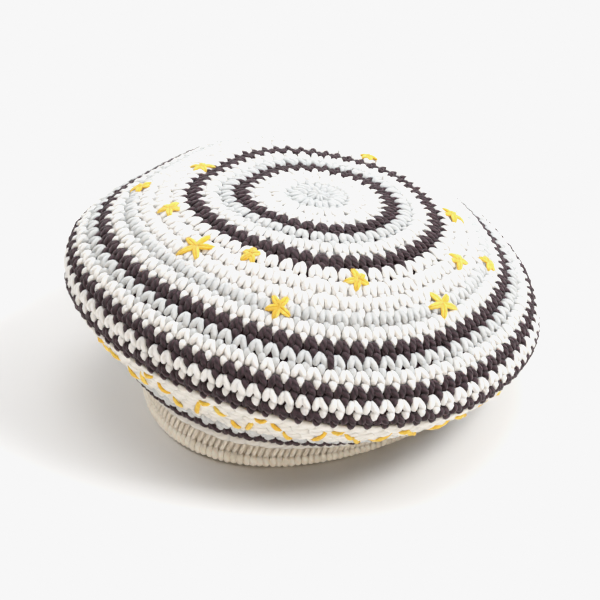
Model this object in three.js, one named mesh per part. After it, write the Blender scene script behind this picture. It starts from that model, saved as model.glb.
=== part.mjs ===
// Crocheted beret: a hollow crown worked in rounds from the middle of its top, and a ribbed band below it.
// Millimetres, +Z up. The band stands on z = 0, and the origin is under the middle of the crown's box.

import * as THREE from 'three';

// Driving dimensions
const CROWN_RADIUS = 115; // widest round of the crown
const CROWN_HEIGHT = 97; // middle of the crown's top over the table
const BAND_RADIUS = 79.6; // outer edge of the band where it stands
const ROUNDS = 25; // rounds of crochet from the middle of the top to the mouth
const WALL = 4.5; // thickness of the crochet
const GROOVE = 0.9; // depth of the groove between two rounds
const BAND_FOOT = 3; // width of the flat ring that the band stands on
const SEAM_GAP = 0.4; // clearance between the crown's mouth and the band's top
const SEAM_OVERHANG = 0.25; // share of the crown's edge that stands out over the band
const BAND_TUCK = 1; // how far the band's top runs in past the crown's edge
const SEGMENTS = 54; // facets round the hat

// The soft crown as it has sagged over the band, a row for each section. round counts rounds of crochet from
// the middle of the top. reach and rise are shares of CROWN_RADIUS and CROWN_HEIGHT, and x and y place the
// section's middle in millimetres. Its right side and its front dip by so many degrees. band is the share
// that the band's outline has in the section's, and the crown's outline has the rest.
const SECTIONS = [
  { round: 0, reach: 0, rise: 1, x: 4.2, y: -1, dipRight: 6.4, dipFront: -2.5, band: 0 },
  { round: 4.5, reach: 0.318, rise: 0.989, x: 4.2, y: -1, dipRight: 6.4, dipFront: -2.5, band: 0 },
  { round: 7.5, reach: 0.512, rise: 0.953, x: 4.2, y: -0.6, dipRight: 7.6, dipFront: -0.1, band: 0 },
  { round: 10.5, reach: 0.702, rise: 0.882, x: 2.6, y: 0.4, dipRight: 7.9, dipFront: 2.1, band: 0 },
  { round: 13.5, reach: 0.852, rise: 0.772, x: 0.4, y: 0.6, dipRight: 8.2, dipFront: 2.4, band: 0 },
  { round: 16.5, reach: 0.982, rise: 0.645, x: -0.2, y: 0.8, dipRight: 7.3, dipFront: 2.8, band: 0 },
  { round: 18.5, reach: 1.002, rise: 0.486, x: 0.3, y: -0.9, dipRight: 6.6, dipFront: 1.2, band: 0 },
  { round: 21, reach: 0.896, rise: 0.316, x: -1.2, y: -4, dipRight: 5.9, dipFront: 0.8, band: 0.1 },
  { round: 23.5, reach: 0.764, rise: 0.163, x: -3.5, y: -6.6, dipRight: 4.2, dipFront: 0, band: 0.5 },
  { round: 25, reach: 0.7, rise: 0.103, x: -4.9, y: -10, dipRight: 3.9, dipFront: 0, band: 0.8 },
];
const BAND_MIDDLE = { x: -5.3, y: -10.9 };

// Moves the hat so that the middle of the crown's box is over the origin.
const ORIGIN_SHIFT = { x: 2.5, y: -0.8 };

// Soft corners of the crown's outline and of the band's: how many, how far out, and where one of them lies.
const CROWN_CORNERS = [
  { folds: 2, swell: 0.004, towards: -75 },
  { folds: 3, swell: 0.022, towards: -43 },
  { folds: 4, swell: 0.0155, towards: 15 },
  { folds: 5, swell: 0.011, towards: -27 },
  { folds: 6, swell: 0.0075, towards: -4 },
];
const BAND_CORNERS = [
  { folds: 2, swell: 0.013, towards: 30 },
  { folds: 3, swell: 0.05, towards: -2 },
];

// Rows of the crown's lining side, by round, from the mouth up to the middle of the top.
const INNER_ROUNDS = [25, 24, 22.5, 21, 19.5, 18.25, 17, 15.5, 14, 11.5, 9, 6, 3];

// Rings of the band's walls between its foot and the crown: share of the way up, and how far the wall bulges.
const BAND_OUTSIDE = [
  { up: 0.09, bulge: 1.1 },
  { up: 0.35, bulge: 1.5 },
  { up: 0.7, bulge: 1.0 },
];
const BAND_INSIDE = [
  { up: 0.09, bulge: 0.6 },
  { up: 0.35, bulge: 0.8 },
  { up: 0.7, bulge: 0.5 },
];

// Smooth curve through one column of SECTIONS, with each row's slope taken from its two neighbours.
function sectionValue(column, round) {
  const last = SECTIONS.length - 1;
  const slope = (row) => {
    const before = SECTIONS[Math.max(row - 1, 0)];
    const after = SECTIONS[Math.min(row + 1, last)];
    return (after[column] - before[column]) / (after.round - before.round);
  };
  let row = 0;
  while (row < last - 1 && round > SECTIONS[row + 1].round) row += 1;
  const from = SECTIONS[row];
  const to = SECTIONS[row + 1];
  const span = to.round - from.round;
  const t = (round - from.round) / span;
  return (
    from[column] * (1 + 2 * t) * (1 - t) ** 2 +
    slope(row) * span * t * (1 - t) ** 2 +
    to[column] * (3 - 2 * t) * t ** 2 -
    slope(row + 1) * span * (1 - t) * t ** 2
  );
}

function outline(corners, angle) {
  return corners.reduce(
    (sum, { folds, swell, towards }) =>
      sum + swell * Math.cos(folds * (angle - THREE.MathUtils.degToRad(towards))),
    1,
  );
}

// The crown's outer surface at a round and an angle about the hat, 0 to the right and 90 degrees to the back.
function crownSurface(round, angle) {
  const at = (column) => sectionValue(column, round);
  const { lerp, degToRad } = THREE.MathUtils;
  const corners = lerp(outline(CROWN_CORNERS, angle), outline(BAND_CORNERS, angle), at('band'));
  const radius = CROWN_RADIUS * at('reach') * corners;
  const dipRight = degToRad(at('dipRight'));
  const dipFront = degToRad(at('dipFront'));
  const right = radius * Math.cos(angle);
  const back = radius * Math.sin(angle);
  return new THREE.Vector3(
    ORIGIN_SHIFT.x + at('x') + right * Math.cos(dipRight),
    ORIGIN_SHIFT.y + at('y') + back * Math.cos(dipFront),
    CROWN_HEIGHT * at('rise') - right * Math.sin(dipRight) + back * Math.sin(dipFront),
  );
}

// A point of the crown's cloth, moved by lift along the outward normal of its surface.
function crownPoint(round, angle, lift) {
  const step = 0.05;
  const towardsMouth = crownSurface(round + step, angle).sub(crownSurface(round - step, angle));
  const roundTheHat = crownSurface(round, angle + step).sub(crownSurface(round, angle - step));
  const normal = towardsMouth.cross(roundTheHat).normalize();
  return crownSurface(round, angle).addScaledVector(normal, lift);
}

// The middle of each round stands proud and the grooves lie between the rounds.
function crownOutside(round, angle) {
  return crownPoint(round, angle, -GROOVE * Math.cos(Math.PI * round) ** 2);
}

function crownInside(round, angle) {
  return crownPoint(round, angle, -WALL);
}

function ringOf(place) {
  return Array.from({ length: SEGMENTS }, (_, facet) => place((facet / SEGMENTS) * 2 * Math.PI));
}

// Closed skin over a run of rings: it ends in a point at each end, or joins its last ring to its first.
function skin(rings, poles) {
  const points = rings.flat();
  const index = [];
  const corner = (ring, facet) => (ring % rings.length) * SEGMENTS + (facet % SEGMENTS);
  const bands = poles ? rings.length - 1 : rings.length;
  for (let ring = 0; ring < bands; ring += 1) {
    for (let facet = 0; facet < SEGMENTS; facet += 1) {
      const a = corner(ring, facet);
      const b = corner(ring, facet + 1);
      const c = corner(ring + 1, facet);
      const d = corner(ring + 1, facet + 1);
      index.push(a, c, d, a, d, b);
    }
  }
  if (poles) {
    const first = points.length;
    const last = first + 1;
    points.push(poles.first, poles.last);
    for (let facet = 0; facet < SEGMENTS; facet += 1) {
      index.push(first, corner(0, facet), corner(0, facet + 1));
      index.push(last, corner(rings.length - 1, facet + 1), corner(rings.length - 1, facet));
    }
  }
  const geometry = new THREE.BufferGeometry().setFromPoints(points);
  geometry.setIndex(index);
  geometry.computeVertexNormals();
  return geometry;
}

// The crown: crests and grooves of the rounds outside, a plain wall inside, open at the mouth.
function crownGeometry() {
  const rings = [];
  for (let half = 2; half <= 2 * ROUNDS; half += 1) {
    rings.push(ringOf((angle) => crownOutside(half / 2, angle)));
  }
  for (const round of INNER_ROUNDS) {
    rings.push(ringOf((angle) => crownInside(round, angle)));
  }
  const top = crownSurface(0, 0);
  const poles = { first: top, last: top.clone().setZ(top.z - WALL) };
  return skin(rings, poles);
}

// The band: a folded rib that stands on a flat ring and tucks under the last round of the crown.
function bandGeometry() {
  const footOutside = BAND_RADIUS - BAND_OUTSIDE[0].bulge;
  const footRing = (radius) => (angle) =>
    outwards(angle)
      .multiplyScalar(radius * outline(BAND_CORNERS, angle))
      .add(new THREE.Vector3(ORIGIN_SHIFT.x + BAND_MIDDLE.x, ORIGIN_SHIFT.y + BAND_MIDDLE.y, 0));
  const foot = { outside: footRing(footOutside), inside: footRing(footOutside - BAND_FOOT) };
  const seam = (across, angle) => {
    const lip = crownOutside(ROUNDS, angle);
    const lining = crownInside(ROUNDS, angle);
    const away = new THREE.Vector3(-Math.cos(angle), -Math.sin(angle), -1).normalize();
    return lip.lerp(lining, across).addScaledVector(away, SEAM_GAP);
  };
  const top = {
    outside: (angle) => seam(SEAM_OVERHANG, angle),
    inside: (angle) => seam(1, angle).addScaledVector(outwards(angle), -BAND_TUCK),
  };
  const wall = (side, sign, { up, bulge }) =>
    ringOf((angle) =>
      foot[side](angle).lerp(top[side](angle), up).addScaledVector(outwards(angle), sign * bulge),
    );
  const rings = [
    ringOf(top.outside),
    ...BAND_OUTSIDE.map((row) => wall('outside', 1, row)).reverse(),
    ringOf(foot.outside),
    ringOf(foot.inside),
    ...BAND_INSIDE.map((row) => wall('inside', -1, row)),
    ringOf(top.inside),
  ];
  return skin(rings, null);
}

function outwards(angle) {
  return new THREE.Vector3(Math.cos(angle), Math.sin(angle), 0);
}

const whiteCotton = new THREE.MeshStandardMaterial({ color: 0xe9e8e3, roughness: 0.9, metalness: 0 });
const creamCotton = new THREE.MeshStandardMaterial({ color: 0xd9cfbd, roughness: 0.92, metalness: 0 });

const crown = new THREE.Mesh(crownGeometry(), whiteCotton);
crown.name = 'crown';

const band = new THREE.Mesh(bandGeometry(), creamCotton);
band.name = 'band';

const beret = new THREE.Group();
beret.add(crown, band);

export default beret;
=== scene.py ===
"""Crocheted beret: single crochet in rounds over a soft crown, a ribbed band, and yellow embroidery."""

import math

import bpy
import numpy as np
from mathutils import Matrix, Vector


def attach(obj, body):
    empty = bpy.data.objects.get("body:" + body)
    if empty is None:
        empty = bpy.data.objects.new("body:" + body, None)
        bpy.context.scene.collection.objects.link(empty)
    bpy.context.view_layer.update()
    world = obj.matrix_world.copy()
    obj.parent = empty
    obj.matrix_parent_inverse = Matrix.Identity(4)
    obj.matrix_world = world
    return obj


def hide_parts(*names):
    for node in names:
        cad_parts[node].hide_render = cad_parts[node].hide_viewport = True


bl_info = {
    "name": "Crocheted Beret",
    "version": (1, 0, 0),
    "blender": (4, 5, 0),
    "location": "3D View > Sidebar > Beret",
    "description": "Builds a crocheted beret stitch by stitch, with its band, embroidery and studio",
    "category": "Object",
}

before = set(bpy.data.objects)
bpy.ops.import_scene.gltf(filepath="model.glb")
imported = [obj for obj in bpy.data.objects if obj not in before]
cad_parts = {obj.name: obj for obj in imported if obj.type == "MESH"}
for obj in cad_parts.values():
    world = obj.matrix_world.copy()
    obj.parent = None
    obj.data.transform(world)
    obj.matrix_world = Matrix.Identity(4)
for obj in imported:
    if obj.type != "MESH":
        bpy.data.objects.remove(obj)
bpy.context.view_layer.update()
MM = 0.001
TURN = 2 * math.pi
SEED = 25
BAND_SEED = SEED + 10
STAR_SEED = SEED + 20
ZIGZAG_SEED = SEED + 30

# Steps that a slope is measured over: rounds and radians on the crown, shares and radians on the band. The
# length of a ring is measured over RING_STEPS steps.
CROWN_PROBE = 0.05
BAND_PROBE = 0.03
RING_STEPS = 180

# Points nearer than MERGE_DISTANCE are merged where cloth meets itself. Lengths under TINY count as zero.
MERGE_DISTANCE = 0.001 * MM
TINY = 1e-12

# The soft crown as it has sagged over the band, a row for each section: the round of crochet it lies at,
# its reach and rise as shares of the crown's radius and height, the place of its middle in millimetres, the
# degrees that its right side and its front dip by, and the share that the band's outline has in its own.
SECTION_COLUMNS = ("round", "reach", "rise", "x", "y", "dip_right", "dip_front", "band")
SECTIONS = np.array(
    [
        (0, 0, 1, 4.2, -1, 6.4, -2.5, 0),
        (4.5, 0.318, 0.989, 4.2, -1, 6.4, -2.5, 0),
        (7.5, 0.512, 0.953, 4.2, -0.6, 7.6, -0.1, 0),
        (10.5, 0.702, 0.882, 2.6, 0.4, 7.9, 2.1, 0),
        (13.5, 0.852, 0.772, 0.4, 0.6, 8.2, 2.4, 0),
        (16.5, 0.982, 0.645, -0.2, 0.8, 7.3, 2.8, 0),
        (18.5, 1.002, 0.486, 0.3, -0.9, 6.6, 1.2, 0),
        (21, 0.896, 0.316, -1.2, -4, 5.9, 0.8, 0.1),
        (23.5, 0.764, 0.163, -3.5, -6.6, 4.2, 0, 0.5),
        (25, 0.7, 0.103, -4.9, -10, 3.9, 0, 0.8),
    ]
)
ORIGIN_SHIFT = np.array((2.5, -0.8, 0)) * MM
BAND_MIDDLE = np.array((-5.3, -10.9, 0)) * MM

# Soft corners of the crown's outline and of the band's: how many, how far out, and where one of them lies.
CROWN_CORNERS = ((2, 0.004, -75), (3, 0.022, -43), (4, 0.0155, 15), (5, 0.011, -27), (6, 0.0075, -4))
BAND_CORNERS = ((2, 0.013, 30), (3, 0.05, -2))

# The band's outer wall: share of the way up, and how far it bulges in millimetres. Its inner wall bulges by
# a share of that.
BAND_BULGE = ((0, 0), (0.09, 1.1), (0.35, 1.5), (0.7, 1.0), (1, 0))
BAND_INNER_BULGE = 0.5
BAND_FOOT_WIDTH = 3 * MM

# The band's top under the crown's edge: depth of the groove at the edge, clearance, share of the edge that
# stands out over the band, and how far the band runs in past the edge.
EDGE_GROOVE = 0.9 * MM
SEAM_GAP = 0.4 * MM
SEAM_OVERHANG = 0.25
BAND_TUCK = 1 * MM

# On the left the band swells out past the crown's edge: degrees, how narrow the swell is, and how far it
# goes out and up at its top.
SWELL_TOWARDS = 192
SWELL_NARROWNESS = 6
SWELL_OUT = 3.0 * MM
SWELL_UP = 1.5 * MM

# Yarn of each round, from the middle of the top to the mouth.
YARN_OF_ROUND = (
    ["pale"] * 2
    + ["white"] * 2
    + ["dark", "pale", "white", "dark"]
    + ["white"] * 3
    + ["pale", "white", "dark", "pale", "white", "dark", "white", "dark"]
    + ["cream"] * 3
    + ["pale", "dark", "cream"]
)
ROUNDS = len(YARN_OF_ROUND)
YARN_SLOTS = dict(white="white_cotton", pale="pale_cotton", dark="dark_cotton", cream="white_cotton")

# Rounds worked even at the rim and the level that sets their number of stitches, the round from which
# stitches are those of the rim, and the fewest stitches in a round.
EVEN_ROUNDS = (16, 19)
EVEN_MIDDLE = 17.5
RIM_START = 15
FEWEST_STITCHES = 6

# Where a round starts, as a share of a turn, and how many stitches it drifts from the round before. No
# strand comes nearer to the middle of the top than TOP_HOLE, in rounds.
ROUND_START = 0.75
ROUND_DRIFT = -0.36
TOP_HOLE = 0.12

# Spread of hand work: of a stitch's place and lean in stitch widths, of its level in rounds, of its lift in
# millimetres, and of its plumpness.
PLACE_SPREAD = 0.03
LEAN_SPREAD = 0.03
LEVEL_SPREAD = 0.025
LIFT_SPREAD = 0.1
PLUMP_SPREAD = 0.04

# Strands of one stitch: stitch widths across from its middle, rounds down from its top, and millimetres of
# lift from the crest of the crochet. Widths and thicknesses are half sizes, in yarn radii. A strand is
# plump in its middle, as FULLNESS says, and tucked in at its ends.
FULLNESS = 0.55
RIM_LEGS = (
    ((-0.05, -0.16, -1.9), (-0.13, 0.1, -1.0), (-0.25, 0.42, -0.95), (-0.34, 0.78, -1.8)),
    ((0.05, -0.18, -1.9), (0.12, 0.1, -0.95), (0.26, 0.44, -0.9), (0.36, 0.82, -1.8)),
)
RIM_LEG_WIDTHS = np.array((0.9, 1.04, 1.1, 0.98))
TOP_LEGS = (
    ((-0.06, -0.16, -1.5), (-0.15, 0.1, -0.75), (-0.23, 0.42, -0.7), (-0.28, 0.78, -1.4)),
    ((0.06, -0.18, -1.5), (0.14, 0.1, -0.7), (0.24, 0.44, -0.65), (0.29, 0.82, -1.4)),
)
TOP_LEG_WIDTHS = np.array((1.0, 1.2, 1.2, 1.0))
TOP_LEG_THICK = 0.8
BUMP = ((0.5, -0.4, -2.1), (0.5, -0.2, -1.25), (0.5, 0.04, -1.2), (0.5, 0.32, -2.1))
BUMP_WIDTHS = np.array((1.2, 1.35, 1.05, 0.7))

# The underside shows flat bars instead of legs, and the last round is a smooth edge. A size is half a width
# and half a thickness.
UNDER_ROUNDS = (20, 21, 22)
UNDER_BAR = ((-0.6, 0.34, -2.1), (-0.2, 0.3, -1.15), (0.2, 0.36, -1.15), (0.6, 0.4, -2.1))
UNDER_BACK_BAR = ((-0.1, 0.82, -2.2), (0.3, 0.8, -1.45), (0.7, 0.84, -1.45), (1.1, 0.86, -2.2))
EDGE_CORD = ((-0.9, 0.42, -2.2), (-0.3, 0.4, -1.2), (0.3, 0.44, -1.2), (0.9, 0.5, -2.2))
UNDER_BAR_SIZE = (1.75, 0.9)
UNDER_BACK_BAR_SIZE = (1.35, 0.9)
EDGE_CORD_SIZE = (1.6, 1.1)

# The ring before the edge stands proud of it: millimetres that its legs are raised by, and how much wider.
LAST_RING_RAISE = 0.45
LAST_RING_WIDER = 1.06

# Where the round is closed, a dark strand steps down through the round below its ring: rounds down and
# millimetres of lift.
STEP_ROUND = 15
STEP_DEGREES = 274.9
STEP = np.array(((-0.25, -1.6), (0.15, -0.2), (0.55, -0.15), (0.95, -1.8)))
STEP_WIDTH = 1.15

# Backing of the stitches: points round the hat, rings to a round, how deep its outer side lies and waves,
# and the depth of the grooves on its inner side.
BACKING_COLUMNS = 180
BACKING_STEPS = 4
BACKING_SUNK = 2.0 * MM
BACKING_WAVE = 0.3 * MM
BACKING_GROOVE = 0.7 * MM

# A column of the band is a lobe under a slanting leaf: columns across, share of the way up, and millimetres
# of lift from the wall. Sizes are half a width in half columns, and half a thickness. No strand's middle is
# lower than LOWEST_STRAND.
LOBE = ((0, 0, -1.4), (0, 0.16, -0.5), (0, 0.34, -0.5), (0, 0.54, -1.8))
LEAF = ((-0.25, 0.4, -2.0), (0.05, 0.6, -1.1), (0.4, 0.8, -1.1), (0.75, 1.02, -1.8))
LOBE_SIZE = (1.2, 1.4 * MM)
LEAF_SIZE = (0.76, 1.1 * MM)
# Shades of the lobes and the leaves: the leaves, under the crown's edge, are painted darker, painted shade.
LOBE_AND_LEAF_PAINTED_SHADE = (0.75, 0.1)
LOWEST_STRAND = 1.35 * MM

# Spread of the band's columns: of their place in columns, their level, their width and their shade.
COLUMN_PLACE_SPREAD = 0.05
COLUMN_LEVEL_SPREAD = 0.012
COLUMN_WIDTH_SPREAD = 0.05
COLUMN_SHADE_SPREAD = 0.25

# Lining of the band: points to a column, shares of the way up of its rings outside and inside, how deep it
# lies under the columns, height of its ribs, clearance over the table, run of the yarn, and its shade,
# which is low so that the lining is painted darker where it shows between the columns: painted shade.
LINING_CORNERS = 6
LINING_OUTSIDE = (1.0, 0.85, 0.6, 0.35, 0.12, 0.03)
LINING_INSIDE = (0.0, 0.1, 0.3, 0.5, 0.7, 0.9, 1.0)
LINING_SUNK = 2.6 * MM
LINING_RIB = 0.45 * MM
LINING_CLEARANCE = 0.1 * MM
LINING_RUN = 3.0
LINING_PAINTED_SHADE = 0.3

# Embroidered stars: degrees about the hat and round of the middle, millimetres of an arm, and degrees that
# the star is turned from pointing straight at the mouth.
STARS = (
    (222.0, 9.7, 9.2, 50),
    (241.5, 8.5, 5.4, 45),
    (259.2, 11.4, 6.4, 5),
    (284.8, 8.75, 6.6, 57),
    (312.0, 11.3, 8.6, 52),
    (333.5, 9.6, 5.6, 25),
    (346.0, 11.55, 5.2, 60),
    (7.2, 8.9, 6.8, 53),
    (66.0, 8.8, 4.6, 0),
    (156.0, 8.5, 6.2, 0),
    (175.0, 11.0, 5.7, 20),
    (196.0, 9.0, 5.7, 0),
)
STAR_ARMS = 5

# An arm is two strands side by side, a row for each point that they pass: share of the arm's length,
# millimetres of lift, millimetres to the side, and half a width in thread radii.
STAR_ARM = np.array(
    ((-0.12, 0.3, 0.4, 0.9), (0.3, 0.7, 0.75, 1.08), (0.68, 0.4, 0.6, 0.95), (1.0, -0.7, 0.2, 0.65))
)
STAR_THICK = 0.72

# Spread of the arms: of their bearing in degrees, their length, and their strands' lift in millimetres.
ARM_TURN_SPREAD = 7
ARM_LENGTH_SPREAD = 0.1
ARM_LIFT_SPREAD = 0.1

# The zigzag: waves round the hat, degrees of the first peak, and rounds of the peaks and of the feet. A
# stroke runs from a place to a place, in degrees from its peak and in rounds.
WAVES = 22
FIRST_PEAK = 224.6
PEAK = 19.75
FOOT = 21.9
STROKES = (
    ((-3.2, FOOT), (-0.2, PEAK + 0.2)),
    ((0.3, PEAK + 0.1), (3.6, PEAK)),
    ((4.1, PEAK + 0.25), (7.1, PEAK + 1.0)),
    ((7.5, PEAK + 1.25), (10.2, FOOT)),
)
STROKE_STEPS = np.array((0, 0.33, 0.67, 1))
STROKE_LIFT = np.array((-1.3, 0.25, 0.25, -1.3)) * MM
STROKE_WIDTH = 1.3
STROKE_THICK = 0.75

# Spread of the zigzag: of a peak and of a stroke in degrees, and of a stroke in rounds.
PEAK_SPREAD = 0.6
STROKE_SPREAD = 0.25
STROKE_LEVEL_SPREAD = 0.08

# Look of the yarns: plies round the yarn, plies that pass to a millimetre along it, unevenness of the dye
# together with the painted shade that some strands carry, and depth of the painted shade in the grooves
# and painted light on the crests of the plies, which also carries the fibres' grain. The plies of the dark
# yarn stand out more than those of the others.
PLAIN_LOOK = {"Plies": 3.0, "Twist": 0.3, "Unevenness": 0.1, "Groove": 0.12}
DARK_LOOK = {"Twist": 0.5, "Groove": 1.0}
# The band's yarn is more uneven, which also deepens the painted shade of its leaves.
BAND_LOOK = {"Plies": 2.0, "Twist": 0.5, "Unevenness": 0.3}
THREAD_LOOK = {"Plies": 2.0, "Twist": 0.5}
PLAIN_RELIEF = 0.25
DARK_RELIEF = 0.7
PLY_DEPTH = 0.4 * MM

# Fibres and dye of the cotton: scales of their patterns, contrast of the fibres in colour and in height,
# middle height of a ply, and the least roughness and what the fibres add to it.
FIBRE_SCALE = 2200
DYE_SCALE = 60
FIBRE_CONTRAST = 1.2
FIBRE_HEIGHT = 0.6
PLY_MIDDLE = 0.7
LEAST_ROUGHNESS = 0.8
FIBRE_ROUGHNESS = 0.15
COTTON_FINISH = {
    "Specular IOR Level": 0.25,
    "Sheen Weight": 0.15,
    "Sheen Roughness": 0.6,
    "Subsurface Weight": 0.4,
    "Subsurface Radius": (1, 0.9, 0.8),
    "Subsurface Scale": 1.8 * MM,
}

# The thread's deep and light patches, and the loops on the back of the crochet, whose pattern also
# darkens the backing all over as painted shade between the stitches.
PATCH_SCALE = 420
PATCH_RANGE = (0.3, 0.7)
LOOP_SCALE = 320
LOOP_PATTERN_AND_PAINTED_SHADE = 0.5
LOOP_RELIEF = 0.5
LOOP_DEPTH = 0.6 * MM
BACKING_FINISH = {"Roughness": 0.95, "Specular IOR Level": 0.15}

# Studio, in metres. An area light has a place, an aim, a width and length, and a colour. Two panels light
# the far floor on the left and the right, with too narrow a spread to light the hat.
HAT_MIDDLE = (0, 0, 0.05)
PLAIN_LIGHT = (1, 1, 1)
WARM_LIGHT = (1, 0.88, 0.74)
LIGHTS = {
    "key": ((0.1, 0.4, 1.4), (0.1, 0.4, 0), (4.4, 0.9), PLAIN_LIGHT),
    "side": ((1.45, -0.12, 1.5), HAT_MIDDLE, (0.8, 0.8), PLAIN_LIGHT),
    "fill": ((-0.2, -2.3, 0.1), HAT_MIDDLE, (1.8, 0.2), WARM_LIGHT),
    "left": ((-1.3, 0.9, 1.0), HAT_MIDDLE, (0.8, 0.8), PLAIN_LIGHT),
}
PANELS = {"left_floor_light": -4.0, "right_floor_light": 4.0}
PANEL_HEIGHT = 2.5
PANEL_SIZE = (4.0, 9.0)
PANEL_SPREAD = math.radians(70)
CEILING_PLACE = (0.1, 0.2, 2)
CEILING_ANGLE = math.radians(30)
SKY_COLOUR = (1, 0.76, 0.54, 1)
FLOOR_SIZE = 12
FLOOR_GRAIN_SCALE = 40
FLOOR_ROUGHNESS = (0.85, 0.95)
FLOOR_SPECULAR = 0.1

# Width of the camera's sensor, in millimetres.
SENSOR_WIDTH = 36

# The tone curve bends at its knee, so that the floor and the top of the hat stay just under white.
COMBINED_CURVE = 3
TONE_KNEE = (0.7, 0.7)
TONE_WHITE = (1.0, 0.93)


class BeretShape(bpy.types.PropertyGroup):
    """Sizes of the beret."""

    crown_radius: bpy.props.FloatProperty(
        name="Crown radius", description="Widest round of the crown", default=115 * MM, unit="LENGTH"
    )
    crown_height: bpy.props.FloatProperty(
        name="Crown height", description="Middle of the top over the table", default=97 * MM, unit="LENGTH"
    )
    band_radius: bpy.props.FloatProperty(
        name="Band radius", description="Outer edge of the band", default=79.6 * MM, unit="LENGTH"
    )
    wall: bpy.props.FloatProperty(
        name="Wall", description="Thickness of the crochet", default=4.5 * MM, unit="LENGTH"
    )
    stitch_width: bpy.props.FloatProperty(
        name="Stitch width", description="Width of one crochet stitch", default=6.95 * MM, unit="LENGTH"
    )
    rim_stitch_width: bpy.props.FloatProperty(
        name="Rim stitch width", description="Width of a stitch near the rim",
        default=7.4 * MM, unit="LENGTH"
    )
    yarn_radius: bpy.props.FloatProperty(
        name="Yarn radius", description="Half the thickness of a stitch's leg",
        default=1.5 * MM, unit="LENGTH"
    )
    band_columns: bpy.props.IntProperty(
        name="Band columns", description="Knitted columns round the band", default=168, min=24
    )
    thread_radius: bpy.props.FloatProperty(
        name="Thread radius", description="Half the thickness of the embroidery",
        default=1.0 * MM, unit="LENGTH"
    )


class BeretColours(bpy.types.PropertyGroup):
    """Colours of the yarns."""

    white: bpy.props.FloatVectorProperty(
        name="White yarn", description="Main yarn", subtype="COLOR", default=(0.885, 0.863, 0.834)
    )
    pale: bpy.props.FloatVectorProperty(
        name="Pale yarn", description="Pale blue-grey yarn", subtype="COLOR", default=(0.6, 0.616, 0.62)
    )
    dark: bpy.props.FloatVectorProperty(
        name="Dark yarn", description="Yarn of the dark rings", subtype="COLOR",
        default=(0.039, 0.02, 0.026)
    )
    cream: bpy.props.FloatVectorProperty(
        name="Cream yarn", description="Yarn of the underside", subtype="COLOR", default=(0.82, 0.79, 0.735)
    )
    rib: bpy.props.FloatVectorProperty(
        name="Band yarn", description="Yarn of the band", subtype="COLOR", default=(0.93, 0.857, 0.745)
    )
    yellow: bpy.props.FloatVectorProperty(
        name="Yellow thread", description="Embroidery thread", subtype="COLOR", default=(0.95, 0.655, 0.13)
    )
    deep_yellow: bpy.props.FloatVectorProperty(
        name="Deep yellow", description="Its deepest strands", subtype="COLOR", default=(0.92, 0.48, 0.025)
    )
    floor: bpy.props.FloatVectorProperty(
        name="Floor", description="Pale studio floor", subtype="COLOR", default=(0.86, 0.86, 0.86)
    )


class BeretStage(bpy.types.PropertyGroup):
    """Camera and light."""

    target: bpy.props.FloatVectorProperty(
        name="Target", description="Point in the middle of the picture", subtype="TRANSLATION",
        default=(-2.1 * MM, -45.8 * MM, 63.4 * MM), unit="LENGTH"
    )
    elevation: bpy.props.FloatProperty(
        name="Elevation", description="Camera's angle over the table", subtype="ANGLE",
        default=math.radians(30.33)
    )
    distance: bpy.props.FloatProperty(
        name="Distance", description="From the camera to the target", default=640 * MM, unit="LENGTH"
    )
    lens: bpy.props.FloatProperty(
        name="Lens", description="Focal length in millimetres", default=82.1, subtype="DISTANCE_CAMERA"
    )
    key_power: bpy.props.FloatProperty(
        name="Key light", description="Wide strip over the hat", default=34.0, unit="POWER"
    )
    side_power: bpy.props.FloatProperty(
        name="Side light", description="Softbox on the right", default=34.0, unit="POWER"
    )
    fill_power: bpy.props.FloatProperty(
        name="Fill light", description="Low, weak light in front", default=16.0, unit="POWER"
    )
    left_power: bpy.props.FloatProperty(
        name="Left light", description="Softbox behind on the left", default=10.0, unit="POWER"
    )
    floor_power: bpy.props.FloatProperty(
        name="Floor lights", description="Panels over the far floor", default=110.0, unit="POWER"
    )
    ceiling_power: bpy.props.FloatProperty(
        name="Ceiling", description="Broad light from above", default=0.5
    )
    sky: bpy.props.FloatProperty(name="Sky", description="Even light from all round", default=0.06)


def shape():
    return bpy.context.scene.beret_shape


def colours():
    return bpy.context.scene.beret_colours


def section_value(column, rounds):
    """Smooth curve through one column of SECTIONS, with each row's slope taken from its neighbours."""
    knots = SECTIONS[:, 0]
    values = SECTIONS[:, SECTION_COLUMNS.index(column)]
    slopes = np.empty_like(values)
    slopes[1:-1] = (values[2:] - values[:-2]) / (knots[2:] - knots[:-2])
    slopes[0] = (values[1] - values[0]) / (knots[1] - knots[0])
    slopes[-1] = (values[-1] - values[-2]) / (knots[-1] - knots[-2])
    row = np.clip(np.searchsorted(knots, rounds) - 1, 0, len(knots) - 2)
    span = knots[row + 1] - knots[row]
    t = (rounds - knots[row]) / span
    return (
        values[row] * (1 + 2 * t) * (1 - t) ** 2
        + slopes[row] * span * t * (1 - t) ** 2
        + values[row + 1] * (3 - 2 * t) * t**2
        - slopes[row + 1] * span * (1 - t) * t**2
    )


def outline(corners, angles):
    total = np.ones_like(angles)
    for folds, swell, towards in corners:
        total = total + swell * np.cos(folds * (angles - math.radians(towards)))
    return total


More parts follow.
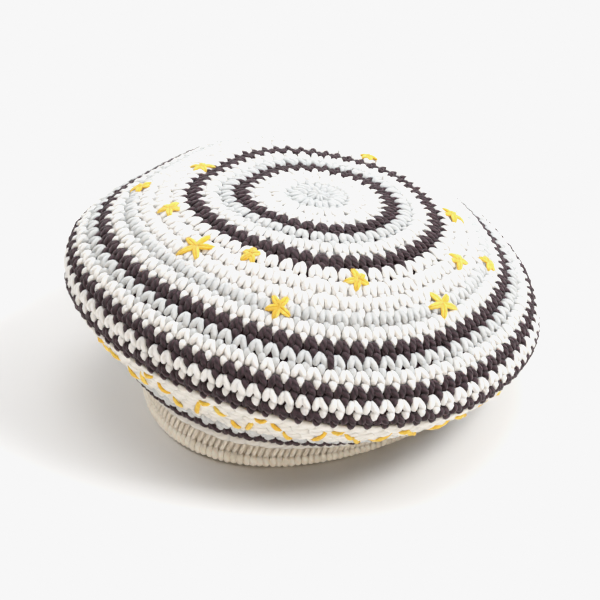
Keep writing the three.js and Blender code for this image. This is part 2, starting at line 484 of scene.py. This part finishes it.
def crown_surface(rounds, angles):
    """Crest of the crochet at a round and an angle, 0 to the right and 90 degrees to the back."""
    rounds, angles = np.broadcast_arrays(np.asarray(rounds, float), np.asarray(angles, float))
    at = {name: section_value(name, rounds) for name in SECTION_COLUMNS[1:]}
    own = outline(CROWN_CORNERS, angles)
    mixed = own + (outline(BAND_CORNERS, angles) - own) * at["band"]
    radius = shape().crown_radius * at["reach"] * mixed
    dip_right, dip_front = np.radians(at["dip_right"]), np.radians(at["dip_front"])
    right, back = radius * np.cos(angles), radius * np.sin(angles)
    point = np.stack(
        (
            at["x"] * MM + right * np.cos(dip_right),
            at["y"] * MM + back * np.cos(dip_front),
            shape().crown_height * at["rise"] - right * np.sin(dip_right) + back * np.sin(dip_front),
        ),
        axis=-1,
    )
    return point + ORIGIN_SHIFT


def unit(vectors):
    return vectors / np.maximum(np.linalg.norm(vectors, axis=-1, keepdims=True), TINY)


def outwards(angles):
    """Level direction away from the middle of the hat."""
    return np.stack((np.cos(angles), np.sin(angles), np.zeros_like(angles)), axis=-1)


def crown_slopes(rounds, angles):
    """Steps of the crown's surface towards the mouth and round the hat, over two probes each."""
    step = CROWN_PROBE
    towards_mouth = crown_surface(rounds + step, angles) - crown_surface(rounds - step, angles)
    round_the_hat = crown_surface(rounds, angles + step) - crown_surface(rounds, angles - step)
    return towards_mouth, round_the_hat


def crown_point(rounds, angles, lift):
    """A point of the crochet, lift metres over its crest, and the outward normal there."""
    normal = unit(np.cross(*crown_slopes(np.maximum(rounds, 2 * CROWN_PROBE), angles)))
    return crown_surface(rounds, angles) + normal * np.asarray(lift)[..., None], normal


def crown_scale(at_round, angle):
    """Metres of cloth to a round and to a radian about the hat."""
    down, along = crown_slopes(at_round, angle)
    return np.linalg.norm(down) / (2 * CROWN_PROBE), np.linalg.norm(along) / (2 * CROWN_PROBE)


def ring_length(at_round):
    angles = np.linspace(0, TURN, RING_STEPS + 1)
    return np.linalg.norm(np.diff(crown_surface(at_round, angles), axis=0), axis=1).sum()


def band_foot(angles, inwards):
    radius = (shape().band_radius - BAND_BULGE[1][1] * MM - inwards) * outline(BAND_CORNERS, angles)
    return outwards(angles) * radius[..., None] + ORIGIN_SHIFT + BAND_MIDDLE


def band_bulge(ups):
    shares, bulges = zip(*BAND_BULGE)
    return np.interp(ups, shares, np.multiply(bulges, MM))


def band_seam(angles, share):
    """Under the crown's edge, share of the way from its outer side to its inner side."""
    lip, _ = crown_point(ROUNDS, angles, -EDGE_GROOVE)
    lining, _ = crown_point(ROUNDS, angles, -shape().wall)
    away = -(outwards(angles) + (0, 0, 1)) / math.sqrt(2)
    return lip + (lining - lip) * share + away * SEAM_GAP


def band_outside(ups, angles):
    """Point of the band's outer wall, a share up from its foot."""
    ups, angles = np.broadcast_arrays(np.asarray(ups, float), np.asarray(angles, float))
    foot = band_foot(angles, 0)
    top = band_seam(angles, SEAM_OVERHANG)
    swell = np.clip(np.cos(angles - math.radians(SWELL_TOWARDS)), 0, 1) ** SWELL_NARROWNESS
    swell = swell * np.clip(ups, 0, 1)
    out = band_bulge(ups) + SWELL_OUT * swell
    point = foot + (top - foot) * ups[..., None] + outwards(angles) * out[..., None]
    point[..., 2] += SWELL_UP * swell
    return point


def band_inside(up, angles):
    """Point of the band's inner wall, a share up from its foot."""
    foot = band_foot(angles, BAND_FOOT_WIDTH)
    top = band_seam(angles, 1.0) - outwards(angles) * BAND_TUCK
    return foot + (top - foot) * up - outwards(angles) * band_bulge(up) * BAND_INNER_BULGE


def band_point(ups, angles, lift):
    """A point lift metres over the band's outer wall, and the outward normal there."""
    step = BAND_PROBE
    up = band_outside(ups + step, angles) - band_outside(ups - step, angles)
    along = band_outside(ups, angles + step) - band_outside(ups, angles - step)
    normal = unit(np.cross(along, up))
    return band_outside(ups, angles) + normal * np.asarray(lift)[..., None], normal


def mesh_corners(mesh):
    corners = np.zeros(len(mesh.vertices) * 3)
    mesh.vertices.foreach_get("co", corners)
    return corners.reshape(-1, 3)


class Strand:
    """One plump strand, modelled once from a sphere and laid along many paths."""

    def __init__(self, sides, rings):
        bpy.ops.object.select_all(action="DESELECT")
        bpy.ops.mesh.primitive_uv_sphere_add(segments=sides, ring_count=rings, radius=1, calc_uvs=True)
        ball = bpy.context.active_object
        mesh = ball.data
        corners = mesh_corners(mesh)
        # The strand starts at the ball's lower end, so that its faces still point outwards once it is laid.
        self.tilt = np.arccos(np.clip(-corners[:, 2], -1, 1))
        self.side = np.arctan2(corners[:, 1], corners[:, 0])
        self.faces = [tuple(p.vertices) for p in mesh.polygons]
        uv = np.zeros(len(mesh.loops) * 2)
        mesh.uv_layers.active.data.foreach_get("uv", uv)
        self.uv = uv.reshape(-1, 2)
        bpy.data.objects.remove(ball)
        bpy.data.meshes.remove(mesh)

    def lay(self, paths, normals, wide, thick):
        """Vertices of a strand along each path, and each strand's length.

        paths and normals have a row for each strand and a column for each point that it passes. wide and
        thick are half sizes along the cloth and across it, for all, for each strand or for each point."""
        count, points = paths.shape[:2]
        along = (1 - np.cos(self.tilt)) / 2 * (points - 1)
        row = np.clip(along.astype(int), 0, points - 2)
        t = (along - row)[None, :, None]
        before, after = np.clip(row - 1, 0, points - 1), np.clip(row + 2, 0, points - 1)
        p0, p1, p2, p3 = paths[:, before], paths[:, row], paths[:, row + 1], paths[:, after]
        centre = 0.5 * (
            2 * p1
            + (p2 - p0) * t
            + (2 * p0 - 5 * p1 + 4 * p2 - p3) * t**2
            + (3 * p1 - p0 - 3 * p2 + p3) * t**3
        )
        heading = unit((p2 - p0) + ((p3 - p1) - (p2 - p0)) * t)
        up = normals[:, row] + (normals[:, row + 1] - normals[:, row]) * t
        across = unit(np.cross(up, heading))
        up = unit(np.cross(heading, across))
        swell = np.sin(self.tilt)
        swell = np.where(swell > TINY, swell, 0) ** FULLNESS
        wide = self.spread(wide, count, row, t)
        thick = self.spread(thick, count, row, t)
        cos, sin = np.cos(self.side)[None, :, None], np.sin(self.side)[None, :, None]
        body = centre + swell[None, :, None] * (across * wide * cos + up * thick * sin)
        length = np.linalg.norm(np.diff(paths, axis=1), axis=2).sum(axis=1)
        return body, length

    @staticmethod
    def spread(size, count, row, t):
        """A half size at every vertex of every strand."""
        size = np.asarray(size, float)
        if size.ndim == 0:
            return size
        if size.shape == (count,):
            return size[:, None, None]
        return (size[..., row] + (size[..., row + 1] - size[..., row]) * t[..., 0])[..., None]


def strands_to_mesh(name, strand, batches, rng, shades=None):
    """One mesh from batches of laid strands, with the yarn's run in its UV map and a shade to a strand."""
    bodies = np.concatenate([body for body, _ in batches])
    lengths = np.concatenate([length for _, length in batches])
    count, size = bodies.shape[:2]
    corners = np.concatenate(strand.faces)
    loop_vertices = (corners[None, :] + (np.arange(count) * size)[:, None]).ravel()
    loop_totals = np.tile([len(face) for face in strand.faces], count)
    loop_starts = np.concatenate(([0], np.cumsum(loop_totals)[:-1]))
    mesh = bpy.data.meshes.new(name)
    mesh.vertices.add(count * size)
    mesh.vertices.foreach_set("co", bodies.ravel())
    mesh.loops.add(len(loop_vertices))
    mesh.loops.foreach_set("vertex_index", loop_vertices.astype(np.int32))
    mesh.polygons.add(len(loop_totals))
    mesh.polygons.foreach_set("loop_start", loop_starts.astype(np.int32))
    mesh.update(calc_edges=True)
    uv = np.tile(strand.uv, (count, 1, 1))
    uv[..., 1] = uv[..., 1] * (lengths / MM)[:, None]
    layer = mesh.uv_layers.new(name="Yarn")
    layer.data.foreach_set("uv", uv.ravel().astype(np.float32))
    # A strand's shade is a random tone of its dye, unless shades are given: on the band they carry painted
    # shade.
    shade = np.repeat(rng.uniform(0, 1, count) if shades is None else shades, size)
    add_shade(mesh, shade)
    mesh.validate()
    mesh.shade_smooth()
    return mesh


def add_shade(mesh, shade):
    mesh.attributes.new("shade", "FLOAT", "POINT").data.foreach_set("value", shade.astype(np.float32))


def add_piece(mesh, material, replaced=None):
    """A finished piece: it rides on the hat, takes the given material, and hides the CAD part that it
    replaces.
    """
    piece = bpy.data.objects.new(mesh.name, mesh)
    bpy.context.scene.collection.objects.link(piece)
    mesh.materials.append(material)
    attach(piece, "root")
    if replaced:
        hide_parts(replaced)


def set_inputs(node, values):
    for socket, value in values.items():
        node.inputs[socket].default_value = value


def noise(tree, scale):
    """Noise on the piece's own coordinates."""
    place = tree.nodes.new("ShaderNodeTexCoord")
    texture = tree.nodes.new("ShaderNodeTexNoise")
    texture.inputs["Scale"].default_value = scale
    tree.links.new(place.outputs["Object"], texture.inputs["Vector"])
    return texture.outputs["Fac"]


def shade_of_strand(tree):
    shade = tree.nodes.new("ShaderNodeAttribute")
    shade.attribute_name = "shade"
    return shade.outputs["Fac"]


def new_material(name):
    """A material with nodes, its tree, and its shader."""
    material = bpy.data.materials.new(name)
    material.use_nodes = True
    return material, material.node_tree, material.node_tree.nodes["Principled BSDF"]


def add_relief(tree, shader, height, strength, depth):
    bump = tree.nodes.new("ShaderNodeBump")
    set_inputs(bump, {"Strength": strength, "Distance": depth})
    tree.links.new(height, bump.inputs["Height"])
    tree.links.new(bump.outputs["Normal"], shader.inputs["Normal"])


def cotton_group():
    """Shared look of matte cotton yarn: plies that wind round the strand, fibres, and an uneven dye.

    Plies are painted darker in their grooves and lighter on their crests, and strands whose shade was set
    carry painted shade.
    """
    name = "Cotton Yarn"
    if name in bpy.data.node_groups:
        return bpy.data.node_groups[name]
    group = bpy.data.node_groups.new(name, "ShaderNodeTree")
    face = group.interface
    face.new_socket("Yarn Colour", in_out="INPUT", socket_type="NodeSocketColor")
    for socket, value in PLAIN_LOOK.items():
        face.new_socket(socket, in_out="INPUT", socket_type="NodeSocketFloat").default_value = value
    face.new_socket("Colour", in_out="OUTPUT", socket_type="NodeSocketColor")
    for socket in ("Roughness", "Height"):
        face.new_socket(socket, in_out="OUTPUT", socket_type="NodeSocketFloat")
    nodes, links = group.nodes, group.links
    into = nodes.new("NodeGroupInput").outputs
    out = nodes.new("NodeGroupOutput").inputs

    def math_node(kind, *values):
        node = nodes.new("ShaderNodeMath")
        node.operation = kind
        for socket, value in zip(node.inputs, values):
            if isinstance(value, bpy.types.NodeSocket):
                links.new(value, socket)
            else:
                socket.default_value = value
        return node.outputs[0]

    uv = nodes.new("ShaderNodeUVMap")
    uv.uv_map = "Yarn"
    run = nodes.new("ShaderNodeSeparateXYZ")
    links.new(uv.outputs["UV"], run.inputs[0])
    around = math_node("MULTIPLY", run.outputs["X"], into["Plies"])
    along = math_node("MULTIPLY", run.outputs["Y"], into["Twist"])
    half_turn = math_node("MULTIPLY", math_node("ADD", around, along), TURN / 2)
    ply = math_node("ABSOLUTE", math_node("SINE", half_turn))
    fibre = noise(group, FIBRE_SCALE)
    mixed = math_node("ADD", noise(group, DYE_SCALE), shade_of_strand(group))
    # A strand's shade moves its tone: an uneven dye, and on the band also painted shade.
    dye_and_painted_shade = math_node("MULTIPLY", math_node("SUBTRACT", mixed, 1.0), into["Unevenness"])
    grain = math_node("SUBTRACT", math_node("MULTIPLY", fibre, FIBRE_CONTRAST), FIBRE_CONTRAST / 2)
    relief = math_node("ADD", math_node("SUBTRACT", ply, PLY_MIDDLE), grain)
    # Painted shade in the plies' grooves and painted light on their crests, with the fibres' grain.
    ply_shade_and_grain = math_node("MULTIPLY", relief, into["Groove"])
    tint = nodes.new("ShaderNodeHueSaturation")
    links.new(into["Yarn Colour"], tint.inputs["Color"])
    links.new(math_node("ADD", math_node("ADD", dye_and_painted_shade, ply_shade_and_grain), 1.0), tint.inputs["Value"])
    links.new(tint.outputs["Color"], out["Colour"])
    rough = math_node("ADD", math_node("MULTIPLY", fibre, FIBRE_ROUGHNESS), LEAST_ROUGHNESS)
    links.new(rough, out["Roughness"])
    height = math_node("ADD", ply, math_node("MULTIPLY", fibre, FIBRE_HEIGHT))
    links.new(height, out["Height"])
    return group


def yarn_material(name, colour, look, relief=PLAIN_RELIEF):
    material, tree, shader = new_material(name)
    yarn = tree.nodes.new("ShaderNodeGroup")
    yarn.node_tree = cotton_group()
    set_inputs(yarn, {"Yarn Colour": (*colour, 1), **PLAIN_LOOK, **look})
    tree.links.new(yarn.outputs["Colour"], shader.inputs["Base Color"])
    tree.links.new(yarn.outputs["Roughness"], shader.inputs["Roughness"])
    add_relief(tree, shader, yarn.outputs["Height"], relief, PLY_DEPTH)
    set_inputs(shader, COTTON_FINISH)
    return material


def thread_material():
    """Embroidery cotton, deeper in colour in some patches and on some strands than on others."""
    name = "Yellow Thread"
    if name in bpy.data.materials:
        return bpy.data.materials[name]
    material = yarn_material(name, colours().yellow, THREAD_LOOK)
    tree = material.node_tree
    yarn = next(node for node in tree.nodes if node.type == "GROUP")
    patch = tree.nodes.new("ShaderNodeMapRange")
    set_inputs(patch, {"From Min": PATCH_RANGE[0], "From Max": PATCH_RANGE[1]})
    tree.links.new(noise(tree, PATCH_SCALE), patch.inputs["Value"])
    mean = tree.nodes.new("ShaderNodeMix")
    mean.inputs["Factor"].default_value = 0.5
    tree.links.new(shade_of_strand(tree), mean.inputs["A"])
    tree.links.new(patch.outputs["Result"], mean.inputs["B"])
    dye = tree.nodes.new("ShaderNodeMix")
    dye.data_type = "RGBA"
    set_inputs(dye, {"A": (*colours().deep_yellow, 1), "B": (*colours().yellow, 1)})
    tree.links.new(mean.outputs["Result"], dye.inputs["Factor"])
    tree.links.new(dye.outputs["Result"], yarn.inputs["Yarn Colour"])
    return material


def stitches_in_round(number):
    """The rounds at the rim are worked even, with as many stitches each as the widest of them."""
    level = EVEN_MIDDLE if EVEN_ROUNDS[0] <= number <= EVEN_ROUNDS[1] else number - 0.5
    width = shape().rim_stitch_width if number >= RIM_START else shape().stitch_width
    return max(FEWEST_STITCHES, round(ring_length(level) / width))


def stitch_strands(strand, number, path, rng, wide, thick):
    """Lays one strand of every stitch of a round."""
    count = stitches_in_round(number)
    across, down, lift = np.array(path).T
    start = ROUND_START * count + np.arange(count) + ROUND_DRIFT * number
    start = start + rng.normal(0, PLACE_SPREAD, count)
    lean = rng.normal(0, LEAN_SPREAD, (count, 1))
    across = across + lean * (down - 0.5)
    angles = (start[:, None] + across) / count * TURN
    rounds = number - 1 + down + rng.normal(0, LEVEL_SPREAD, (count, 1))
    lift = (lift + rng.normal(0, LIFT_SPREAD, (count, 1))) * MM
    points, normals = crown_point(np.maximum(rounds, TOP_HOLE), angles, lift)
    plump = rng.normal(1, PLUMP_SPREAD, count)
    squeeze = ring_length(number - 0.5) / count / shape().stitch_width
    return strand.lay(points, normals, np.multiply.outer(plump * squeeze, wide), thick * plump)


def own_strands(number):
    """Strands of a stitch of this round: path, half width and half thickness, the sizes in yarn radii."""
    if number == ROUNDS:
        return [(EDGE_CORD, *EDGE_CORD_SIZE)]
    if number in UNDER_ROUNDS:
        return [(UNDER_BAR, *UNDER_BAR_SIZE), (UNDER_BACK_BAR, *UNDER_BACK_BAR_SIZE)]
    if number < RIM_START:
        return [(leg, TOP_LEG_WIDTHS, TOP_LEG_THICK) for leg in TOP_LEGS]
    if number == ROUNDS - 1:
        raised = (0, 0, LAST_RING_RAISE)
        return [(np.add(leg, raised), RIM_LEG_WIDTHS * LAST_RING_WIDER, 1) for leg in RIM_LEGS]
    return [(leg, RIM_LEG_WIDTHS, 1) for leg in RIM_LEGS]


def crown_batches(strand, yarn, rng):
    """Stitches of the rounds in this yarn, and its bumps, which show between those of the next round."""
    radius = shape().yarn_radius
    batches = []
    for number, yarn_here in enumerate(YARN_OF_ROUND, start=1):
        own = yarn_here == yarn
        above = number > 1 and YARN_OF_ROUND[number - 2] == yarn
        parts = own_strands(number) if own else []
        if above and number < ROUNDS and not (own and number in UNDER_ROUNDS):
            parts.append((BUMP, BUMP_WIDTHS, 1))
        for path, wide, thick in parts:
            batches.append(stitch_strands(strand, number, path, rng, radius * wide, radius * thick))
    if yarn == "dark":
        batches.append(step_strand(strand, radius))
    return batches


def step_strand(strand, radius):
    down, lift = STEP.T
    points, normals = crown_point(STEP_ROUND - 1 + down, math.radians(STEP_DEGREES), lift * MM)
    return strand.lay(points[None], normals[None], radius * STEP_WIDTH, radius)


def cloth_grid(rings):
    """A grid laid over rings of points, the first ring at its top, and the row and column of each point."""
    rings = np.array(rings)
    rows, columns = len(rings) - 1, rings.shape[1]
    bpy.ops.object.select_all(action="DESELECT")
    bpy.ops.mesh.primitive_grid_add(x_subdivisions=columns, y_subdivisions=rows, size=2, calc_uvs=False)
    grid = bpy.context.active_object
    flat = mesh_corners(grid.data)
    column = np.rint((1 + flat[:, 0]) / 2 * columns).astype(int)
    row = np.rint((1 - flat[:, 1]) / 2 * rows).astype(int)
    grid.data.vertices.foreach_set("co", rings[row, column % columns].ravel())
    grid.data.update()
    return grid, row, column


def close_seams(grid, name):
    """Merges the edges and the ends where the grid meets itself, and takes its mesh off it."""
    bpy.ops.object.mode_set(mode="EDIT")
    bpy.ops.mesh.select_all(action="SELECT")
    bpy.ops.mesh.remove_doubles(threshold=MERGE_DISTANCE)
    bpy.ops.object.mode_set(mode="OBJECT")
    mesh = grid.data
    bpy.data.objects.remove(grid)
    mesh.name = name
    mesh.shade_smooth()
    return mesh


class BERET_OT_backing(bpy.types.Operator):
    """Inner side of the crochet, a hollow shell whose rounds show the yarn behind them, with painted shade
    """

    bl_idname = "beret.backing"
    bl_label = "Crochet backing"

    def execute(self, context):
        columns = BACKING_COLUMNS
        angles = np.arange(columns) / columns * TURN
        levels = np.arange(1, ROUNDS * BACKING_STEPS + 1) / BACKING_STEPS
        rings, tones = [], []
        for level in levels:
            sunk = BACKING_SUNK + BACKING_WAVE * math.cos(TURN * level)
            rings.append(crown_point(level, angles, -sunk)[0])
            number = math.ceil(level)
            near = YARN_OF_ROUND[max(0, number - 2) : number]
            tones.append("dark" if "dark" in near else near[0])
        for level in levels[::-1]:
            sunk = shape().wall - BACKING_GROOVE * (1 - math.cos(TURN * level)) / 2
            rings.append(crown_point(level, angles, -sunk)[0])
            tones.append(YARN_OF_ROUND[math.ceil(level) - 1])
        top, under = (np.tile(ring.mean(axis=0), (columns, 1)) for ring in (rings[0], rings[-1]))
        grid, row, _ = cloth_grid([top, *rings, under])
        dyes = {name: (*getattr(colours(), name), 1) for name in YARN_SLOTS}
        tint = np.array([dyes[tone] for tone in (tones[0], *tones, tones[-1])])[row]
        layer = grid.data.color_attributes.new("yarn_tint", "FLOAT_COLOR", "POINT")
        layer.data.foreach_set("color", tint.astype(np.float32).ravel())
        mesh = close_seams(grid, "crown_backing")
        add_piece(mesh, self.material(), "crown")
        return {"FINISHED"}

    def material(self):
        material, tree, shader = new_material("Crochet Backing")
        tint = tree.nodes.new("ShaderNodeAttribute")
        tint.attribute_name = "yarn_tint"
        loops = noise(tree, LOOP_SCALE)
        # Multiplying by the loop pattern darkens the tint a quarter on average: painted shade, with the
        # loops' own pattern.
        loops_and_painted_shade = tree.nodes.new("ShaderNodeMix")
        loops_and_painted_shade.data_type = "RGBA"
        loops_and_painted_shade.blend_type = "MULTIPLY"
        loops_and_painted_shade.inputs["Factor"].default_value = LOOP_PATTERN_AND_PAINTED_SHADE
        tree.links.new(tint.outputs["Color"], loops_and_painted_shade.inputs["A"])
        tree.links.new(loops, loops_and_painted_shade.inputs["B"])
        tree.links.new(loops_and_painted_shade.outputs["Result"], shader.inputs["Base Color"])
        add_relief(tree, shader, loops, LOOP_RELIEF, LOOP_DEPTH)
        set_inputs(shader, BACKING_FINISH)
        return material


class BERET_OT_stitches(bpy.types.Operator):
    """Crochet stitches of the crown, one piece for each yarn"""

    bl_idname = "beret.stitches"
    bl_label = "Crown stitches"

    def execute(self, context):
        strand = Strand(sides=8, rings=6)
        for order, (yarn, slot) in enumerate(YARN_SLOTS.items()):
            rng = np.random.default_rng(SEED + order)
            name = f"crown_{yarn}_stitches"
            mesh = strands_to_mesh(name, strand, crown_batches(strand, yarn, rng), rng)
            look = (DARK_LOOK, DARK_RELIEF) if yarn == "dark" else (PLAIN_LOOK, PLAIN_RELIEF)
            material = yarn_material(f"{yarn.title()} Cotton", getattr(colours(), yarn), *look)
            add_piece(mesh, material, "crown")
        return {"FINISHED"}


class BERET_OT_band(bpy.types.Operator):
    """Ribbed band: knitted columns over a folded ring that stands on the table"""

    bl_idname = "beret.band"
    bl_label = "Ribbed band"

    def execute(self, context):
        columns = shape().band_columns
        rng = np.random.default_rng(BAND_SEED)
        strand = Strand(sides=8, rings=6)
        pitch = TURN / columns
        half = 0.5 * TURN * shape().band_radius / columns
        place = (np.arange(columns) + rng.normal(0, COLUMN_PLACE_SPREAD, columns)) * pitch

        def laid(path, wide, thick):
            across, up, lift = np.array(path).T
            angles = place[:, None] + across * pitch
            ups = up + rng.normal(0, COLUMN_LEVEL_SPREAD, (columns, 1))
            points, normals = band_point(ups, angles, lift * MM)
            points[..., 2] = np.maximum(points[..., 2], LOWEST_STRAND)
            widths = half * wide * rng.normal(1, COLUMN_WIDTH_SPREAD, columns)
            return strand.lay(points, normals, widths, thick)

        batches = [laid(LOBE, *LOBE_SIZE), laid(LEAF, *LEAF_SIZE)]
        # Lobes take a high shade and leaves a low one: painted shade on the band's upper half.
        shades = np.repeat(LOBE_AND_LEAF_PAINTED_SHADE, columns) + rng.uniform(0, COLUMN_SHADE_SPREAD, 2 * columns)
        material = yarn_material("Band Cotton", colours().rib, BAND_LOOK)
        mesh = strands_to_mesh("band_columns", strand, batches, rng, shades)
        add_piece(mesh, material, "band")
        self.lining(columns, material)
        return {"FINISHED"}

    def lining(self, columns, material):
        """The folded ring under the columns, ribbed on its inner side."""
        around = columns * LINING_CORNERS
        angles = np.arange(around) / around * TURN
        rib = outwards(angles) * (LINING_RIB * np.cos(angles * columns))[:, None]
        rings = [band_outside(up, angles) - outwards(angles) * LINING_SUNK for up in LINING_OUTSIDE]
        rings += [band_inside(up, angles) - rib for up in LINING_INSIDE]
        for ring in rings:
            ring[:, 2] = np.maximum(ring[:, 2], LINING_CLEARANCE)
        grid, row, column = cloth_grid([*rings, rings[0]])
        corners = np.zeros(len(grid.data.loops), np.int32)
        grid.data.loops.foreach_get("vertex_index", corners)
        run = np.stack((column / LINING_CORNERS, row * LINING_RUN), axis=-1)[corners]
        grid.data.uv_layers.new(name="Yarn").data.foreach_set("uv", run.astype(np.float32).ravel())
        # A low shade paints the lining darker where it shows between the columns: painted shade.
        add_shade(grid.data, np.full(len(grid.data.vertices), LINING_PAINTED_SHADE))
        mesh = close_seams(grid, "band_lining")
        add_piece(mesh, material, "band")


class BERET_OT_stars(bpy.types.Operator):
    """Embroidered five-armed stars on the top of the crown"""

    bl_idname = "beret.stars"
    bl_label = "Embroidered stars"

    def execute(self, context):
        rng = np.random.default_rng(STAR_SEED)
        strand = Strand(sides=6, rings=6)
        steps, lift, apart, widths = STAR_ARM.T
        paths, normals = [], []
        for degrees, middle, reach, turn in STARS:
            angle = math.radians(degrees)
            per_round, per_radian = crown_scale(middle, angle)
            for arm in range(STAR_ARMS):
                bearing = math.radians(turn + 360 / STAR_ARMS * arm + rng.normal(0, ARM_TURN_SPREAD))
                out = steps * reach * MM * rng.normal(1, ARM_LENGTH_SPREAD)
                rounds = middle + out * math.cos(bearing) / per_round
                angles = angle + out * math.sin(bearing) / per_radian
                points, ups = crown_point(rounds, angles, lift * MM)
                beside = unit(np.cross(ups, points[-1] - points[0])) * (apart * MM)[:, None]
                for side in (-1, 1):
                    nudge = rng.normal(0, ARM_LIFT_SPREAD) * MM
                    paths.append(points + beside * side + ups * nudge)
                    normals.append(ups)
        radius = shape().thread_radius
        batch = strand.lay(np.array(paths), np.array(normals), radius * widths, radius * STAR_THICK)
        mesh = strands_to_mesh("star_embroidery", strand, [batch], rng)
        add_piece(mesh, thread_material())
        return {"FINISHED"}


class BERET_OT_zigzag(bpy.types.Operator):
    """Running stitch in a zigzag on the underside of the crown"""

    bl_idname = "beret.zigzag"
    bl_label = "Zigzag stitching"

    def execute(self, context):
        rng = np.random.default_rng(ZIGZAG_SEED)
        strand = Strand(sides=6, rings=6)
        paths, normals = [], []
        for wave in range(WAVES):
            peak = FIRST_PEAK + 360 / WAVES * wave + rng.normal(0, PEAK_SPREAD)
            for (from_angle, from_round), (to_angle, to_round) in STROKES:
                degrees = from_angle + (to_angle - from_angle) * STROKE_STEPS + rng.normal(0, STROKE_SPREAD)
                rounds = from_round + (to_round - from_round) * STROKE_STEPS
                rounds = rounds + rng.normal(0, STROKE_LEVEL_SPREAD)
                points, ups = crown_point(rounds, np.radians(peak + degrees), STROKE_LIFT)
                paths.append(points)
                normals.append(ups)
        radius = shape().thread_radius * STROKE_WIDTH
        batch = strand.lay(np.array(paths), np.array(normals), radius, radius * STROKE_THICK)
        mesh = strands_to_mesh("zigzag_embroidery", strand, [batch], rng)
        add_piece(mesh, thread_material())
        return {"FINISHED"}


class BERET_OT_stage(bpy.types.Operator):
    """Pale floor, soft light and the camera"""

    bl_idname = "beret.stage"
    bl_label = "Studio"

    def execute(self, context):
        scene = context.scene
        stage = scene.beret_stage
        scene.view_settings.view_transform = "Standard"
        bpy.ops.object.select_all(action="DESELECT")
        bpy.ops.mesh.primitive_plane_add(size=FLOOR_SIZE)
        floor = context.active_object
        floor.name = "studio_floor"
        floor.data.materials.append(self.floor_material())
        for name, (place, aim, size, colour) in LIGHTS.items():
            self.light(f"{name}_light", place, aim, getattr(stage, f"{name}_power"), size, colour)
        self.ceiling(stage.ceiling_power)
        for name, x in PANELS.items():
            place, aim = (x, 0, PANEL_HEIGHT), (x, 0, 0)
            panel = self.light(name, place, aim, stage.floor_power, PANEL_SIZE, PLAIN_LIGHT)
            panel.spread = PANEL_SPREAD
        self.tone(scene.view_settings)
        world = bpy.data.worlds.new("Studio")
        scene.world = world
        world.use_nodes = True
        set_inputs(world.node_tree.nodes["Background"], {"Color": SKY_COLOUR, "Strength": stage.sky})
        self.camera(scene, stage)
        return {"FINISHED"}

    def tone(self, settings):
        settings.use_curve_mapping = True
        mapping = settings.curve_mapping
        mapping.extend = "HORIZONTAL"
        combined = mapping.curves[COMBINED_CURVE]
        combined.points[1].location = TONE_WHITE
        combined.points.new(*TONE_KNEE)
        mapping.update()

    def floor_material(self):
        material, tree, shader = new_material("Studio Floor")
        rough = tree.nodes.new("ShaderNodeMapRange")
        set_inputs(rough, {"To Min": FLOOR_ROUGHNESS[0], "To Max": FLOOR_ROUGHNESS[1]})
        tree.links.new(noise(tree, FLOOR_GRAIN_SCALE), rough.inputs["Value"])
        tree.links.new(rough.outputs["Result"], shader.inputs["Roughness"])
        set_inputs(shader, {"Base Color": (*colours().floor, 1), "Specular IOR Level": FLOOR_SPECULAR})
        return material

    def light(self, name, place, aim, power, size, colour):
        data = bpy.data.lights.new(name, "AREA")
        data.shape = "RECTANGLE"
        data.size, data.size_y = size
        data.energy = power
        data.color = colour
        self.hang(name, data, place, aim)
        return data

    def ceiling(self, power):
        """Broad light from above and a little behind, which reaches the whole floor."""
        data = bpy.data.lights.new("ceiling_light", "SUN")
        data.energy = power
        data.angle = CEILING_ANGLE
        self.hang("ceiling_light", data, CEILING_PLACE, (0, 0, 0))

    def hang(self, name, data, place, aim):
        """Points a lamp at its aim. One that hangs straight over its aim points down as it is made."""
        lamp = bpy.data.objects.new(name, data)
        lamp.location = place
        if place[:2] != aim[:2]:
            lamp.rotation_euler = (Vector(aim) - lamp.location).to_track_quat("-Z", "Y").to_euler()
        bpy.context.scene.collection.objects.link(lamp)

    def camera(self, scene, stage):
        data = bpy.data.cameras.new("photo_camera")
        data.lens = stage.lens
        data.sensor_width = SENSOR_WIDTH
        camera = bpy.data.objects.new("photo_camera", data)
        target = Vector(stage.target)
        back = Vector((0, -math.cos(stage.elevation), math.sin(stage.elevation)))
        camera.location = target + back * stage.distance
        camera.rotation_euler = (-back).to_track_quat("-Z", "Y").to_euler()
        scene.collection.objects.link(camera)
        scene.camera = camera


OPERATORS = (
    BERET_OT_backing,
    BERET_OT_stitches,
    BERET_OT_band,
    BERET_OT_stars,
    BERET_OT_zigzag,
    BERET_OT_stage,
)


class BERET_PT_panel(bpy.types.Panel):
    """Sizes, colours and steps of the beret"""

    bl_idname = "BERET_PT_panel"
    bl_label = "Crocheted Beret"
    bl_space_type = "VIEW_3D"
    bl_region_type = "UI"
    bl_category = "Beret"

    def draw(self, context):
        layout = self.layout
        for group, kind in GROUPS.items():
            box = layout.box()
            for name in kind.__annotations__:
                box.prop(getattr(context.scene, group), name)
        for operator in OPERATORS:
            layout.operator(operator.bl_idname)


GROUPS = {"beret_shape": BeretShape, "beret_colours": BeretColours, "beret_stage": BeretStage}
CLASSES = (*GROUPS.values(), *OPERATORS, BERET_PT_panel)


def register():
    for kind in CLASSES:
        bpy.utils.register_class(kind)
    for name, group in GROUPS.items():
        setattr(bpy.types.Scene, name, bpy.props.PointerProperty(type=group))


def unregister():
    for name in GROUPS:
        delattr(bpy.types.Scene, name)
    for kind in reversed(CLASSES):
        bpy.utils.unregister_class(kind)


def main():
    register()
    bpy.ops.beret.backing()
    bpy.ops.beret.stitches()
    bpy.ops.beret.band()
    bpy.ops.beret.stars()
    bpy.ops.beret.zigzag()
    bpy.ops.beret.stage()


if __name__ == "__main__":
    main()
